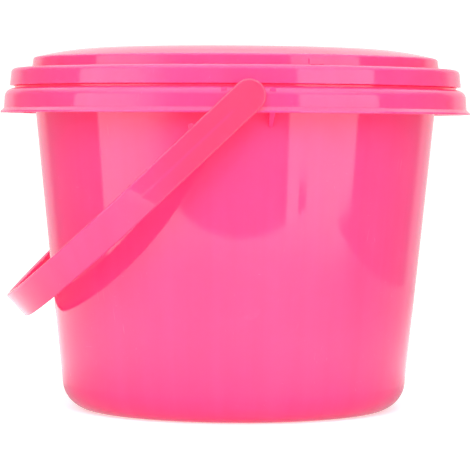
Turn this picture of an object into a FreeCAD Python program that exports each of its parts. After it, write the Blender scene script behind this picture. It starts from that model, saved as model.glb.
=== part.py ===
import FreeCAD, Part
import math
import os

# Sand bucket in three mouldings: a tapered tub, a stepped press-on lid and a strap handle.
# Millimetres. +Z is up, the origin is the centre of the bottom, and the handle's pivot axis runs along Y.

V = FreeCAD.Vector
UP = V(0, 0, 1)

# Tub wall and bottom
BASE_RADIUS = 90.1            # the wall's outer line carried down to z = 0
WALL_SLOPE = 0.1017           # growth of the radius for each millimetre of height
WALL = 1.9                    # thickness across, measured level
CORNER = 16.0                 # outer radius between wall and bottom
FLOOR = 2.2                   # thickness of the bottom
PUSH_UP = 1.0                 # height of the hollow under the bottom
FOOT_RADIUS = 64.0            # inside edge of the ring that the bucket stands on
FOOT_RAMP = 2.0
GATE_RADIUS = 3.5             # moulding gate at the centre of the bottom
GATE_DROP = 0.5

# Tub rim: a wider mouth, an inverted channel round it, then a shoulder and a hanging skirt
MOUTH_RADIUS = 107.6          # inside the mouth, where the lid's plug goes
FLARE_BOTTOM = 166.0          # the wall starts to open here
FLARE_TOP = 170.0
RIM_TOP = 179.0
BEAD_RADIUS = 116.7           # widest outside of the rim bead
BEAD_NECK = 115.9             # narrowest, below the bulge that the lid snaps over
SEAT_RADIUS = 117.4           # ring round the bead's foot, just under the lid's skirt
SEAT_TOP = 171.3
BEAD_WALL = 1.7
NECK_TOP = 174.0
BULGE_BOTTOM = 175.4
SHOULDER_TOP = 170.3
SHOULDER_ROUND = 4.8
SKIRT_RADIUS = 122.5
SKIRT_FOOT_RADIUS = 123.1
SKIRT_FOOT = 159.9
SKIRT_FOOT_ROUND = 1.0        # hollow rounding between skirt and lip
SKIRT_WALL = 1.6
LIP_RADIUS = 125.0
LIP_BOTTOM = 157.2
LIP_EDGE = 0.9

# Gussets under the skirt, one each side of each pivot
GUSSET_OFFSET = 12.0          # from the pivot, along X
GUSSET_TOP_WIDTH = 2.8
GUSSET_FOOT_WIDTH = 2.1
GUSSET_FOOT = 150.2

# Pivots
PIVOT_HEIGHT = 165.4
PIN_RADIUS = 2.2
PIN_CLEARANCE = 0.06
PIN_HEAD_RADIUS = 2.8
PIN_HEAD_OUTER = 118.2        # from the centre to the head's shoulder, behind the skirt
PIN_HEAD_INNER = 116.0
PIN_TIP_RADIUS = 1.7
COLLAR_RADIUS = 4.2           # spacer between the strap and the skirt
COLLAR_FACE = 123.3

# Strap handle
HANDLE_DROOP = 43.7           # degrees below level at rest, towards -X
HANDLE_HALF_SPAN = 130.4      # centre to the outside of a leg
LEG_LENGTH = 57.7             # straight part of a leg, from the pivot
BEND_RADIUS = 66.0            # the bow's first arc, off the leg
BEND_TURN = 37.6              # degrees
FLANK_RADIUS = 162.6          # the long flat arc; a short one round the grip closes the bow
FLANK_TURN = 45.5
STRAP = 3.2                   # thickness
STRAP_HALF_WIDTH = 8.25
GRIP_HALF_WIDTH = 7.95
CHANNEL_DEPTH = 1.4           # hollow along the inside of each leg
CHANNEL_HALF_WIDTH = 6.0
CHANNEL_TURN = 60.0           # the channel's round end is centred where the bow has turned this far
BOSS_RADIUS = 7.4             # full thickness round the pin
RIB_HALF_WIDTH = 0.6          # stiffening rib down the middle of the channel
RIB_END = 69.0
TAB_ALONG = 31.0              # small round moulding tab on the upper edge of the front leg
TAB_RADIUS = 1.6
TAB_RISE = 0.1

# Lid
LID_SKIRT_BOTTOM = 171.6
LID_SKIRT_RADIUS = 119.1      # at the step; the skirt widens to its foot
LID_FOOT_RADIUS = 120.0
LID_WALL = 1.6
LEDGE_TOP = 180.9             # step between the lid's skirt and its raised panel
LEDGE_ROUND = 2.6
SNAP_RADIUS = 117.05          # inside of the snap ridge
SNAP_HEIGHT = 173.9
SNAP_RAMP = 2.4               # height of the slope above the ridge
PANEL_FOOT_RADIUS = 108.3
PANEL_TOP_RADIUS = 107.5
PANEL_ROUND = 1.5
DOME_RADIUS = 161.0
DOME_FLAT = 67.0              # radius of the flat middle
LID_TOP = 191.7
PLUG_RADIUS = 107.2
PLUG_WALL = 1.5
PLUG_BOTTOM = 173.3

FINE = 0.4                    # radius that softens a moulded corner
SMALL = 0.8
REACH = 200.0                 # longer than any part, for cutting tools
FULL_TURN = 360
QUARTER_TURN = 90
MATCH = 0.02                  # how near an edge has to be to count as the ring asked for


def wall_radius(height):
    """Outer radius of the tub's wall at a height."""
    return BASE_RADIUS + WALL_SLOPE * height


def revolved(outline):
    """Turns a closed outline of (radius, height) points about the Z axis."""
    points = [V(radius, 0, height) for radius, height in outline]
    wire = Part.makePolygon(points + points[:1])
    return Part.Face(wire).revolve(V(0, 0, 0), UP, FULL_TURN)


def round_rings(solid, rings):
    """Rounds the ring-shaped edges named as (radius, height, rounding)."""
    for ring_radius, height, rounding in rings:
        picked = []
        for edge in solid.Edges:
            curve = edge.Curve
            if not isinstance(curve, Part.Circle):
                continue
            on_axis = math.hypot(curve.Center.x, curve.Center.y) < MATCH
            if on_axis and abs(curve.Radius - ring_radius) < MATCH and abs(curve.Center.z - height) < MATCH:
                picked.append(edge)
        solid = solid.makeFillet(rounding, picked)
    return solid


def gusset(side, offset):
    """A tapered plate between skirt and wall, thinner at its foot."""
    outer = SKIRT_RADIUS - SKIRT_WALL / 2
    inner = wall_radius(GUSSET_FOOT) - WALL / 2
    foot_y = wall_radius(GUSSET_FOOT) + SMALL
    top = SHOULDER_TOP - WALL / 2
    half_top = GUSSET_TOP_WIDTH / 2
    half_foot = GUSSET_FOOT_WIDTH / 2
    side_view = Part.makePolygon([
        V(-REACH, side * inner, GUSSET_FOOT),
        V(-REACH, side * foot_y, GUSSET_FOOT),
        V(-REACH, side * outer, LIP_BOTTOM + SMALL),
        V(-REACH, side * outer, top),
        V(-REACH, side * inner, top),
        V(-REACH, side * inner, GUSSET_FOOT),
    ])
    plate = Part.Face(side_view).extrude(V(2 * REACH, 0, 0))
    front_view = Part.makePolygon([
        V(offset - half_foot, -REACH, GUSSET_FOOT),
        V(offset + half_foot, -REACH, GUSSET_FOOT),
        V(offset + half_top, -REACH, LIP_BOTTOM),
        V(offset + half_top, -REACH, RIM_TOP),
        V(offset - half_top, -REACH, RIM_TOP),
        V(offset - half_top, -REACH, LIP_BOTTOM),
        V(offset - half_foot, -REACH, GUSSET_FOOT),
    ])
    return plate.common(Part.Face(front_view).extrude(V(0, 2 * REACH, 0)))


def make_tub():
    """The bucket: bottom, tapered wall, rim bead, shoulder, hanging skirt, gussets and pivot holes."""
    inner_base = BASE_RADIUS - WALL
    under_bead = RIM_TOP - BEAD_WALL
    bead_inner = BEAD_NECK - BEAD_WALL
    skirt_inner = SKIRT_RADIUS - SKIRT_WALL
    shoulder_under = SHOULDER_TOP - SKIRT_WALL
    mouth_outer = MOUTH_RADIUS + WALL
    inner_corner = inner_base + WALL_SLOPE * FLOOR
    flare_inner = wall_radius(FLARE_BOTTOM) - WALL
    outline = [
        (0, PUSH_UP),
        (FOOT_RADIUS - FOOT_RAMP, PUSH_UP),
        (FOOT_RADIUS, 0),
        (BASE_RADIUS, 0),
        (wall_radius(FLARE_BOTTOM), FLARE_BOTTOM),
        (mouth_outer, FLARE_TOP),
        (mouth_outer, under_bead),
        (bead_inner, under_bead),
        (bead_inner, shoulder_under),
        (skirt_inner, shoulder_under),
        (skirt_inner, LIP_BOTTOM + SKIRT_WALL),
        (skirt_inner + SMALL, LIP_BOTTOM),
        (LIP_RADIUS, LIP_BOTTOM),
        (LIP_RADIUS, LIP_BOTTOM + LIP_EDGE),
        (SKIRT_FOOT_RADIUS, SKIRT_FOOT),
        (SKIRT_RADIUS, SHOULDER_TOP),
        (SEAT_RADIUS, SHOULDER_TOP),
        (SEAT_RADIUS, SEAT_TOP),
        (BEAD_NECK, SEAT_TOP + SMALL),
        (BEAD_NECK, NECK_TOP),
        (BEAD_RADIUS, BULGE_BOTTOM),
        (BEAD_RADIUS, RIM_TOP),
        (MOUTH_RADIUS, RIM_TOP),
        (MOUTH_RADIUS, FLARE_TOP + WALL),
        (flare_inner, FLARE_BOTTOM),
        (inner_corner, FLOOR),
        (FOOT_RADIUS, FLOOR),
        (FOOT_RADIUS - FOOT_RAMP, FLOOR + PUSH_UP),
        (0, FLOOR + PUSH_UP),
    ]
    tub = revolved(outline)
    tub = round_rings(tub, [
        (BASE_RADIUS, 0, CORNER),
        (inner_corner, FLOOR, CORNER - WALL),
        (SKIRT_RADIUS, SHOULDER_TOP, SHOULDER_ROUND),
        (skirt_inner, shoulder_under, SHOULDER_ROUND - SKIRT_WALL),
        (SKIRT_FOOT_RADIUS, SKIRT_FOOT, SKIRT_FOOT_ROUND),
        (LIP_RADIUS, LIP_BOTTOM + LIP_EDGE, FINE),
        (LIP_RADIUS, LIP_BOTTOM, FINE),
        (SEAT_RADIUS, SEAT_TOP, FINE / 2),
        (BEAD_RADIUS, RIM_TOP, SMALL + FINE),
        (MOUTH_RADIUS, RIM_TOP, SMALL),
        (MOUTH_RADIUS, FLARE_TOP + WALL, SMALL + FINE),
        (flare_inner, FLARE_BOTTOM, SMALL + FINE),
        (wall_radius(FLARE_BOTTOM), FLARE_BOTTOM, SMALL),
        (mouth_outer, FLARE_TOP, SMALL),
    ])
    for side in (-1, 1):
        for offset in (-GUSSET_OFFSET, GUSSET_OFFSET):
            tub = tub.fuse(gusset(side, offset))
    hole_radius = PIN_RADIUS + PIN_CLEARANCE
    for side in (-1, 1):
        start = V(0, side * (skirt_inner - 2 * SKIRT_WALL), PIVOT_HEIGHT)
        tub = tub.cut(Part.makeCylinder(hole_radius, 4 * SKIRT_WALL, start, V(0, side, 0)))
    gate = Part.makeCylinder(GATE_RADIUS, PUSH_UP, V(0, 0, PUSH_UP - GATE_DROP), UP)
    return tub.fuse(gate).removeSplitter()


def make_lid():
    """The press-on cover: skirt over the rim bead, step, raised domed panel and plug ring."""
    ledge_under = LEDGE_TOP - LID_WALL
    skirt_inner = LID_SKIRT_RADIUS - LID_WALL
    plug_inner = PLUG_RADIUS - PLUG_WALL
    centre_height = LID_TOP - DOME_RADIUS
    under_radius = DOME_RADIUS - LID_WALL
    # Outer dome arc, from the flat middle to the panel's edge
    edge_offset = PANEL_TOP_RADIUS - DOME_FLAT
    edge_height = centre_height + math.sqrt(DOME_RADIUS ** 2 - edge_offset ** 2)
    middle_offset = edge_offset / 2
    middle_height = centre_height + math.sqrt(DOME_RADIUS ** 2 - middle_offset ** 2)
    # The same arc one wall thickness lower
    under_offset = plug_inner - DOME_FLAT
    under_edge = centre_height + math.sqrt(under_radius ** 2 - under_offset ** 2)
    under_middle = centre_height + math.sqrt(under_radius ** 2 - (under_offset / 2) ** 2)

    def line(start, end):
        return Part.LineSegment(V(start[0], 0, start[1]), V(end[0], 0, end[1])).toShape()

    def arc(start, middle, end):
        ends = [V(point[0], 0, point[1]) for point in (start, middle, end)]
        return Part.Arc(*ends).toShape()

    corners = [
        (PANEL_TOP_RADIUS, edge_height),
        (PANEL_FOOT_RADIUS, LEDGE_TOP),
        (LID_SKIRT_RADIUS, LEDGE_TOP),
        (LID_FOOT_RADIUS, LID_SKIRT_BOTTOM),
        (skirt_inner + SMALL, LID_SKIRT_BOTTOM),
        (SNAP_RADIUS, SNAP_HEIGHT - FINE),
        (SNAP_RADIUS, SNAP_HEIGHT + FINE),
        (skirt_inner, SNAP_HEIGHT + SNAP_RAMP),
        (skirt_inner, ledge_under),
        (PLUG_RADIUS, ledge_under),
        (PLUG_RADIUS, PLUG_BOTTOM + LID_WALL),
        (PLUG_RADIUS - SMALL, PLUG_BOTTOM),
        (plug_inner, PLUG_BOTTOM),
        (plug_inner, under_edge),
    ]
    edges = [
        line((0, LID_TOP), (DOME_FLAT, LID_TOP)),
        arc((DOME_FLAT, LID_TOP), (DOME_FLAT + middle_offset, middle_height), corners[0]),
    ]
    for start, end in zip(corners, corners[1:]):
        edges.append(line(start, end))
    under_top = LID_TOP - LID_WALL
    edges.append(arc(corners[-1], (DOME_FLAT + under_offset / 2, under_middle), (DOME_FLAT, under_top)))
    edges.append(line((DOME_FLAT, under_top), (0, under_top)))
    edges.append(line((0, under_top), (0, LID_TOP)))
    lid = Part.Face(Part.Wire(edges)).revolve(V(0, 0, 0), UP, FULL_TURN)
    return round_rings(lid, [
        (PANEL_TOP_RADIUS, edge_height, PANEL_ROUND),
        (PANEL_FOOT_RADIUS, LEDGE_TOP, FINE),
        (LID_SKIRT_RADIUS, LEDGE_TOP, LEDGE_ROUND),
        (skirt_inner, ledge_under, LID_WALL),
        (LID_FOOT_RADIUS, LID_SKIRT_BOTTOM, FINE),
    ])


def bow_point(turn, inset):
    """Where the front half has turned that many degrees off the leg, inset from its outside face."""
    along = LEG_LENGTH
    across = HANDLE_HALF_SPAN
    heading = 0
    for radius, most in ((BEND_RADIUS, BEND_TURN), (FLANK_RADIUS, FLANK_TURN), (None, QUARTER_TURN)):
        if radius is None:
            radius = across / math.cos(math.radians(heading))
        start = math.radians(heading)
        heading = min(heading + most, turn)
        end = math.radians(heading)
        along += radius * (math.sin(end) - math.sin(start))
        across -= radius * (math.cos(start) - math.cos(end))
        if heading == turn:
            break
    final = math.radians(turn)
    return V(-(along - inset * math.sin(final)), -(across - inset * math.cos(final)), 0)


def bow_edges(inset):
    """The whole bow from the front leg to the back leg, as tangent arcs."""
    grip_start = BEND_TURN + FLANK_TURN
    bend = [bow_point(turn, inset) for turn in (0, BEND_TURN / 2, BEND_TURN)]
    flank = [bow_point(turn, inset) for turn in (BEND_TURN, BEND_TURN + FLANK_TURN / 2, grip_start)]
    grip_end = bow_point(grip_start, inset)
    grip = [grip_end, bow_point(QUARTER_TURN, inset), V(grip_end.x, -grip_end.y, 0)]
    front = [Part.Arc(*points) for points in (bend, flank)]
    back = [Part.Arc(*[V(point.x, -point.y, 0) for point in points]) for points in (flank, bend)]
    return [arc.toShape() for arc in front + [Part.Arc(*grip)] + back]


def strap_band(outer_inset, inner_inset, half_width):
    """A strap between two insets from the handle's outside face, with straight legs past the pivot."""
    end = STRAP_HALF_WIDTH
    outer_y = HANDLE_HALF_SPAN - outer_inset
    inner_y = HANDLE_HALF_SPAN - inner_inset
    straights = [
        (V(end, -outer_y, 0), V(-LEG_LENGTH, -outer_y, 0)),
        (V(end, outer_y, 0), V(-LEG_LENGTH, outer_y, 0)),
        (V(end, inner_y, 0), V(-LEG_LENGTH, inner_y, 0)),
        (V(end, -inner_y, 0), V(-LEG_LENGTH, -inner_y, 0)),
        (V(end, outer_y, 0), V(end, inner_y, 0)),
        (V(end, -outer_y, 0), V(end, -inner_y, 0)),
    ]
    rail = [Part.LineSegment(*ends).toShape() for ends in straights]
    rail += bow_edges(outer_inset) + bow_edges(inner_inset)
    face = Part.Face(Part.Wire(Part.__sortEdges__(rail)))
    face.translate(V(0, 0, -half_width))
    return face.extrude(V(0, 0, 2 * half_width))


def side_outline():
    """The handle's outline seen from the side: round leg ends, and a slight taper towards the grip."""
    tip = -bow_point(QUARTER_TURN, 0).x + SMALL
    blade = Part.makePolygon([
        V(0, -REACH, STRAP_HALF_WIDTH),
        V(-tip, -REACH, GRIP_HALF_WIDTH),
        V(-tip, -REACH, -GRIP_HALF_WIDTH),
        V(0, -REACH, -STRAP_HALF_WIDTH),
        V(0, -REACH, STRAP_HALF_WIDTH),
    ])
    plate = Part.Face(blade).extrude(V(0, 2 * REACH, 0))
    rounded = Part.makeCylinder(STRAP_HALF_WIDTH, 2 * REACH, V(0, -REACH, 0), V(0, 1, 0))
    return plate.fuse(rounded)


def channel():
    """The hollow along the inside of the front leg: round by the grip, with a rib left standing in it."""
    hollow = strap_band(STRAP - CHANNEL_DEPTH, STRAP + CHANNEL_DEPTH, CHANNEL_HALF_WIDTH)
    towards_leg = V(math.cos(math.radians(CHANNEL_TURN)), -math.sin(math.radians(CHANNEL_TURN)), 0)
    # In the end's own frame X runs towards the leg, Y through the strap and Z across it
    leg_part = Part.makeBox(2 * REACH, 2 * REACH, 2 * REACH, V(0, -REACH, -REACH))
    round_end = Part.makeCylinder(CHANNEL_HALF_WIDTH, 4 * STRAP, V(0, -2 * STRAP, 0), V(0, 1, 0))
    kept = leg_part.fuse(round_end)
    along_strap = FreeCAD.Rotation(V(1, 0, 0), towards_leg)
    kept.Placement = FreeCAD.Placement(bow_point(CHANNEL_TURN, STRAP), along_strap)
    boss = Part.makeCylinder(BOSS_RADIUS, REACH, V(0, -REACH, 0), V(0, 1, 0))
    past_pivot = Part.makeBox(REACH, REACH, REACH, V(0, -REACH, -REACH / 2))
    rib = Part.makeBox(RIB_END, REACH, 2 * RIB_HALF_WIDTH, V(-RIB_END, -REACH, -RIB_HALF_WIDTH))
    return hollow.common(kept).cut(boss).cut(past_pivot).cut(rib)


def pin(side):
    """One pivot pin with its spacer collar and its snap head, along Y from the strap's inside face."""
    root = HANDLE_HALF_SPAN - STRAP / 2
    profile = [
        (0, root),
        (COLLAR_RADIUS, root),
        (COLLAR_RADIUS, COLLAR_FACE),
        (PIN_RADIUS, COLLAR_FACE),
        (PIN_RADIUS, PIN_HEAD_OUTER),
        (PIN_HEAD_RADIUS, PIN_HEAD_OUTER),
        (PIN_HEAD_RADIUS, PIN_HEAD_OUTER - SMALL),
        (PIN_TIP_RADIUS, PIN_HEAD_INNER),
        (0, PIN_HEAD_INNER),
    ]
    points = [V(radius, side * distance, 0) for radius, distance in profile]
    wire = Part.makePolygon(points + points[:1])
    return Part.Face(wire).revolve(V(0, 0, 0), V(0, 1, 0), FULL_TURN)


def make_handle():
    """The strap handle with its pins, drooping at its rest angle."""
    strap = strap_band(0, STRAP, STRAP_HALF_WIDTH).common(side_outline())
    front_channel = channel()
    strap = strap.cut(front_channel)
    strap = strap.cut(front_channel.mirror(V(0, 0, 0), V(0, 1, 0)))
    tab_height = STRAP_HALF_WIDTH + TAB_RISE
    tab_start = V(-TAB_ALONG, -(HANDLE_HALF_SPAN - SMALL), tab_height)
    tab = Part.makeCylinder(TAB_RADIUS, STRAP - SMALL, tab_start, V(0, 1, 0))
    strap = strap.fuse(tab)
    for side in (-1, 1):
        strap = strap.fuse(pin(side))
    strap = strap.removeSplitter()
    strap.rotate(V(0, 0, 0), V(0, 1, 0), -HANDLE_DROOP)
    strap.translate(V(0, 0, PIVOT_HEIGHT))
    return strap


def main():
    """Builds each moulding and writes it as its own STEP file."""
    os.makedirs("parts", exist_ok=True)
    mouldings = {"tub": make_tub(), "lid": make_lid(), "bail_handle": make_handle()}
    for name, shape in mouldings.items():
        box = shape.BoundBox
        print(name, "valid", shape.isValid(), "solids", len(shape.Solids), "volume", round(shape.Volume))
        print("  from", [round(value, 2) for value in (box.XMin, box.YMin, box.ZMin)])
        print("  to", [round(value, 2) for value in (box.XMax, box.YMax, box.ZMax)])
        shape.exportStep(os.path.join("parts", name + ".step"))


main()
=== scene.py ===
"""Sand bucket in glossy moulded plastic: a tub, a press-on lid and a strap handle, each one moulding.

Metres, +Z up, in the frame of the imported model: the origin is the centre of the bottom.
"""
import logging
import math
from collections.abc import Callable, Iterable, Sequence
from dataclasses import dataclass, field
from enum import Enum
from itertools import pairwise

import bpy
from mathutils import Matrix, Vector


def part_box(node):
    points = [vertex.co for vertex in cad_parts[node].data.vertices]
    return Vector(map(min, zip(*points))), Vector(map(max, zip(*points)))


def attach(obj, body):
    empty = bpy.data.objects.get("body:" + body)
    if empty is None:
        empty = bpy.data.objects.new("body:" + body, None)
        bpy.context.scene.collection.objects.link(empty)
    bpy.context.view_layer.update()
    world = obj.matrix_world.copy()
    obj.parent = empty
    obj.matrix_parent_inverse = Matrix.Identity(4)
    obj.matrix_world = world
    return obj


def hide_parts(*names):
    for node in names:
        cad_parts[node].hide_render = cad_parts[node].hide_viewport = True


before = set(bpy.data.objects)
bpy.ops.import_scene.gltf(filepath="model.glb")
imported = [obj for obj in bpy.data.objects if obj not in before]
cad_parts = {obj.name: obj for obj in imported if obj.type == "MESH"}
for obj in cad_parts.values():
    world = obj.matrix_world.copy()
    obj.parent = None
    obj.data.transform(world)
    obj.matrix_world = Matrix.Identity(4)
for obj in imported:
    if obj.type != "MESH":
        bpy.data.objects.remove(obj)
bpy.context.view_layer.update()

logging.basicConfig(level=logging.INFO, format="%(name)s: %(message)s")
log = logging.getLogger("sand_bucket")

Piece = bpy.types.Object
Socket = bpy.types.NodeSocket
Sockets = bpy.types.bpy_prop_collection
Colour = tuple[float, float, float, float]
Place = tuple[float, float, float]
Span = tuple[float, float]

MM = 0.001
WELD = 0.002 * MM              # points nearer than this are one point
NEAR = 0.02 * MM               # how near a point has to be to count as on a plane or an axis
ARC_STEP = math.radians(8)     # turn of one flat in a rounded corner
SUPPORT = 0.5 * MM             # straight stretch kept flat beside a rounded corner
FINE = 0.4 * MM                # the usual rounding of a crisp edge
SMALL = 0.8 * MM               # the usual rounding of a soft edge
SMOOTH_ANGLE = math.radians(32)
HALF_TURN = math.pi
QUARTER_TURN = math.pi / 2


# ---------------------------------------------------------------- workshop

class Blend(Enum):
    """How one solid is combined with another."""

    JOIN = "UNION"
    CUT = "DIFFERENCE"


@dataclass(frozen=True)
class Corner:
    """A corner of a turned outline.

    Args:
        across: distance from the axis.
        up: height.
        rounding: radius that rounds the corner, or 0 for a sharp one.
    """

    across: float
    up: float
    rounding: float = 0.0

    @property
    def point(self) -> Vector:
        """The corner as a flat point."""
        return Vector((self.across, self.up))


def rounded(corners: Sequence[Corner]) -> list[Vector]:
    """Rounds the corners of an open outline with tangent arcs.

    Args:
        corners: the outline from end to end.

    Returns:
        Flat points along the outline, with a short straight stretch kept beside each arc.
    """
    points = [corners[0].point]
    for before, corner, after in zip(corners, corners[1:], corners[2:]):
        if corner.rounding == 0:
            points.append(corner.point)
            continue
        back = (before.point - corner.point).normalized()
        ahead = (after.point - corner.point).normalized()
        half = back.angle(ahead) / 2
        setback = corner.rounding / math.tan(half)
        centre = corner.point + (back + ahead).normalized() * corner.rounding / math.sin(half)
        start = corner.point + back * setback
        turn = (start - centre).angle_signed(corner.point + ahead * setback - centre)
        flats = max(2, math.ceil(abs(turn) / ARC_STEP))
        if (before.point - start).length > 4 * SUPPORT:
            points.append(start + back * SUPPORT)
        for flat in range(flats + 1):
            points.append(centre + Matrix.Rotation(-turn * flat / flats, 2) @ (start - centre))
        if (after.point - points[-1]).length > 4 * SUPPORT:
            points.append(points[-1] + ahead * SUPPORT)
    points.append(corners[-1].point)
    return points


def start_fresh() -> None:
    """Goes to object mode with nothing selected."""
    if bpy.context.mode != "OBJECT":
        bpy.ops.object.mode_set(mode="OBJECT")
    bpy.ops.object.select_all(action="DESELECT")


def take(piece: Piece) -> None:
    """Makes a piece the only selected and active one.

    Args:
        piece: the piece.
    """
    start_fresh()
    piece.select_set(True)
    bpy.context.view_layer.objects.active = piece


def select_all() -> None:
    """Selects the whole of a mesh, in edit mode."""
    bpy.ops.mesh.select_all(action="SELECT")


def edit(piece: Piece) -> None:
    """Opens a piece in edit mode with all its points selected.

    Args:
        piece: the piece.
    """
    take(piece)
    bpy.ops.object.mode_set(mode="EDIT")
    bpy.context.tool_settings.mesh_select_mode = (True, False, False)
    select_all()


def extrude(by: Vector | Place) -> None:
    """Extrudes what is selected, in edit mode."""
    bpy.ops.mesh.extrude_region_move(TRANSFORM_OT_translate={"value": by})


def modify(piece: Piece, name: str, kind: str, **settings: object) -> None:
    """Adds a modifier to a piece and applies it.

    Args:
        piece: the piece.
        name: the modifier's name.
        kind: its type.
        settings: its properties.
    """
    take(piece)
    modifier = piece.modifiers.new(name, kind)
    for key, value in settings.items():
        setattr(modifier, key, value)
    bpy.ops.object.modifier_apply(modifier=modifier.name)


def pick(piece: Piece, wanted: Callable[[Vector], bool], faces: bool = False) -> None:
    """Opens a piece in edit mode with only the wanted points, or the faces made of them, selected.

    Args:
        piece: the piece to edit.
        wanted: says of a point's place whether it is taken.
        faces: True to select whole faces, each with all its points wanted.
    """
    take(piece)
    mesh = piece.data
    for item in (*mesh.polygons, *mesh.edges, *mesh.vertices):
        item.select = False
    if faces:
        taken = [f for f in mesh.polygons if all(wanted(mesh.vertices[v].co) for v in f.vertices)]
    else:
        taken = [v for v in mesh.vertices if wanted(v.co)]
    for item in taken:
        item.select = True
    bpy.ops.object.mode_set(mode="EDIT")
    bpy.context.tool_settings.mesh_select_mode = (not faces, False, faces)


def settle(piece: Piece) -> None:
    """Merges a piece's doubled points, turns its faces outwards and leaves edit mode.

    Args:
        piece: the piece.
    """
    edit(piece)
    bpy.ops.mesh.remove_doubles(threshold=WELD)
    bpy.ops.mesh.dissolve_degenerate(threshold=WELD)
    select_all()
    bpy.ops.mesh.normals_make_consistent(inside=False)
    start_fresh()


def place_in_mesh(piece: Piece) -> None:
    """Puts a piece's place, turn and scale into its mesh."""
    take(piece)
    bpy.ops.object.transform_apply(location=True, rotation=True, scale=True)


def place(piece: Piece, turn: Place = (0, 0, 0), move: Place = (0, 0, 0)) -> Piece:
    """Turns a piece about the origin, moves it, and puts both into its mesh.

    Args:
        piece: the piece, whose object sits at the origin.
        turn: angles about X, Y and Z.
        move: how far it then moves.

    Returns:
        The same piece, with its object at the origin again.
    """
    piece.rotation_euler = turn
    piece.location = move
    place_in_mesh(piece)
    return piece


def starting_point(name: str, at: Vector) -> Piece:
    """Adds a small plane and merges it to the single point that an outline is drawn from.

    Args:
        name: the piece's name.
        at: where its point is.

    Returns:
        The piece, open in edit mode.
    """
    start_fresh()
    bpy.ops.mesh.primitive_plane_add(size=MM, location=at)
    piece = bpy.context.object
    piece.name = name
    bpy.ops.object.transform_apply(location=True)
    edit(piece)
    bpy.ops.mesh.merge(type="CENTER")
    return piece


def draw(points: Iterable[Vector]) -> None:
    """Extrudes the selected point along a line of points, in edit mode."""
    for here, there in pairwise(points):
        extrude(there - here)


def turned(name: str, corners: Sequence[Corner], steps: int) -> Piece:
    """Draws an outline with rounded corners and spins it about the Z axis.

    Args:
        name: the piece's name.
        corners: the outline, which starts and ends on the axis.
        steps: flats round the circle.

    Returns:
        A closed piece.
    """
    outline = [Vector((point.x, 0, point.y)) for point in rounded(corners)]
    piece = starting_point(name, outline[0])
    draw(outline)
    select_all()
    bpy.ops.mesh.spin(steps=steps, angle=math.tau, center=(0, 0, 0), axis=(0, 0, 1))
    settle(piece)
    return piece


def plate(name: str, outline: Sequence[Vector], through: Vector) -> Piece:
    """Draws a closed outline, fills it and extrudes it into a plate.

    Args:
        name: the piece's name.
        outline: its corners, in order.
        through: how far and which way the face is extruded.

    Returns:
        A closed plate.
    """
    piece = starting_point(name, outline[0])
    draw(outline)
    select_all()
    bpy.ops.mesh.edge_face_add()
    select_all()
    extrude(through)
    settle(piece)
    return piece


def combine(piece: Piece, tool: Piece, how: Blend) -> None:
    """Joins a tool to a piece or cuts it away, and removes the tool.

    Args:
        piece: the piece that is kept.
        tool: the solid that is joined or cut away.
        how: which of the two.
    """
    modify(piece, how.name.title(), "BOOLEAN", operation=how.value, solver="EXACT", object=tool)
    bpy.data.objects.remove(tool)


def soften(piece: Piece, width: float, angle: float) -> None:
    """Bevels every edge that is sharper than an angle.

    Args:
        piece: the piece to finish.
        width: width of the bevel.
        angle: edges that turn less than this stay as they are.
    """
    modify(piece, "Soften", "BEVEL", width=width, segments=2, limit_method="ANGLE", angle_limit=angle,
           miter_outer="MITER_ARC")


def polish(piece: Piece) -> None:
    """Shades a piece smooth, with creases only where two faces really meet.

    Args:
        piece: the finished piece.
    """
    take(piece)
    bpy.ops.object.shade_smooth_by_angle(angle=SMOOTH_ANGLE)
    modify(piece, "Even shading", "WEIGHTED_NORMAL", mode="FACE_AREA", weight=50, keep_sharp=True)
    start_fresh()


# ---------------------------------------------------------------- finishes

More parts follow.
